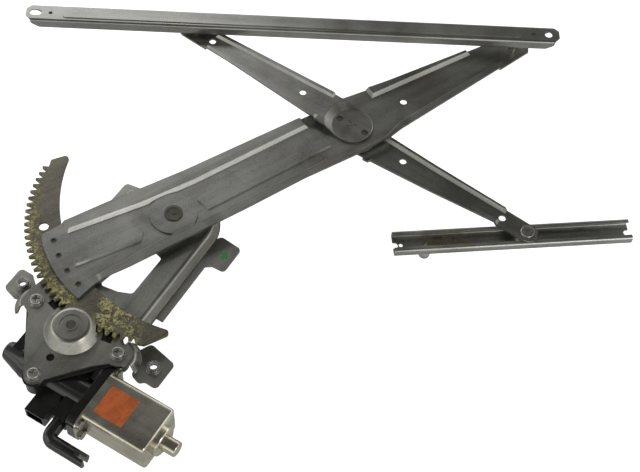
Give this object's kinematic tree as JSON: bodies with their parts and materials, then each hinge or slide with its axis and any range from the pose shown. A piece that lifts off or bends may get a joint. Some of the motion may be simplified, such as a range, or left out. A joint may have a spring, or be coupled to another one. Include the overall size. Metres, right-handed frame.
{
  "type": "window regulator",
  "caption": "Electric scissor-arm window regulator: stamped base, worm geared motor, toothed sector, crossed arms, glass channel and guide channel.",
  "frame": {"origin": "centre of the lower right door bolt hole, on the plane where the base plate meets the door", "axes": "+X along the glass channel, +Y from the base plate towards the glass channel, +Z away from the door sheet"},
  "size_m": [0.5436, 0.4383, 0.0647],
  "materials": {
    "stamped_steel": "semi-gloss",
    "bright_steel": "satin",
    "rail_steel": "semi-gloss",
    "sector_steel": "greased",
    "can_steel": "zinc plated",
    "black_plastic": "gloss",
    "nylon": "matte",
    "rubber": "matte",
    "magnet": "matte",
    "bronze": "matte",
    "copper": "satin"
  },
  "bodies": {
    "base": {"base_plate": "stamped_steel", "weld_nuts": "bright_steel", "pivot_rivet": "bright_steel", "pivot_bush": "bronze", "motor_screws": "bright_steel", "gear_housing": "black_plastic", "gear_cover": "stamped_steel", "end_frame": "black_plastic", "motor_can": "can_steel", "can_screws": "bright_steel", "magnets": "magnet", "shaft_bearings": "bronze", "brush_holder": "black_plastic", "connector_pins": "copper", "breather_tube": "black_plastic"},
    "output": {"output_pinion": "bright_steel", "worm_wheel": "nylon", "wheel_damper": "rubber"},
    "armature": {"armature_shaft": "bright_steel", "armature_core": "bright_steel", "commutator": "copper"},
    "lift": {"lift_arm": "stamped_steel", "sector_gear": "sector_steel", "sector_rivets": "bright_steel", "front_roller_stud": "bright_steel"},
    "equalizer": {"cross_hub": "stamped_steel", "hub_rivets": "bright_steel", "front_half_arm": "stamped_steel", "rear_half_arm": "stamped_steel", "rear_roller_stud": "bright_steel", "guide_stud": "bright_steel"},
    "front_roller": {"glass_roller_front": "nylon"},
    "rear_roller": {"glass_roller_rear": "nylon"},
    "slider": {"guide_slider": "nylon"},
    "glass_rail": {"glass_channel": "rail_steel"},
    "guide_rail": {"guide_channel": "rail_steel", "guide_standoffs": "bright_steel"}
  },
  "joints": [
    {"name": "lift_pivot", "type": "hinge", "parent": "base", "child": "lift", "pos_m": [0.0062, 0.138, 0.016], "axis": [0, 0, 1], "range_deg": [-7.5, 33]},
    {"name": "cross_pivot", "type": "hinge", "parent": "lift", "child": "equalizer", "pos_m": [0.15746, 0.23922, 0.016], "axis": [0, 0, 1], "range_deg": [-66, 15]},
    {"name": "glass_rail_pivot", "type": "hinge", "parent": "equalizer", "child": "glass_rail", "pos_m": [0.0062, 0.34044, 0.033], "axis": [0, 0, 1], "range_deg": [-7.5, 33]},
    {"name": "slider_pivot", "type": "hinge", "parent": "equalizer", "child": "slider", "pos_m": [0.30871, 0.138, 0.004], "axis": [0, 0, 1], "range_deg": [-7.5, 33]},
    {"name": "guide_slide", "type": "slide", "parent": "slider", "child": "guide_rail", "axis": [0.994, 0.1097, 0], "range_m": [-0.0234, 0.1026]},
    {"name": "front_roller_spin", "type": "hinge", "parent": "lift", "child": "front_roller", "pos_m": [0.30871, 0.34044, 0.033], "axis": [0, 0, 1], "continuous": true},
    {"name": "rear_roller_spin", "type": "hinge", "parent": "equalizer", "child": "rear_roller", "pos_m": [0.0062, 0.34044, 0.033], "axis": [0, 0, 1], "continuous": true},
    {"name": "pinion_spin", "type": "hinge", "parent": "base", "child": "output", "pos_m": [-0.06643, 0.02616, 0.01], "axis": [0, 0, 1], "range_deg": [-383, 87.5]},
    {"name": "armature_spin", "type": "hinge", "parent": "base", "child": "armature", "pos_m": [-0.07753, -0.00703, -0.008], "axis": [0.866, -0.5, 0], "continuous": true}
  ],
  "couplings": [
    {"joint": "cross_pivot", "follows": "lift_pivot", "ratio": -2},
    {"joint": "glass_rail_pivot", "follows": "lift_pivot", "ratio": 1},
    {"joint": "slider_pivot", "follows": "lift_pivot", "ratio": 1},
    {"joint": "guide_slide", "follows": "lift_pivot", "m_per_rad": 0.178},
    {"joint": "pinion_spin", "follows": "lift_pivot", "ratio": -11.6},
    {"joint": "armature_spin", "follows": "lift_pivot", "ratio": 649.6}
  ]
}
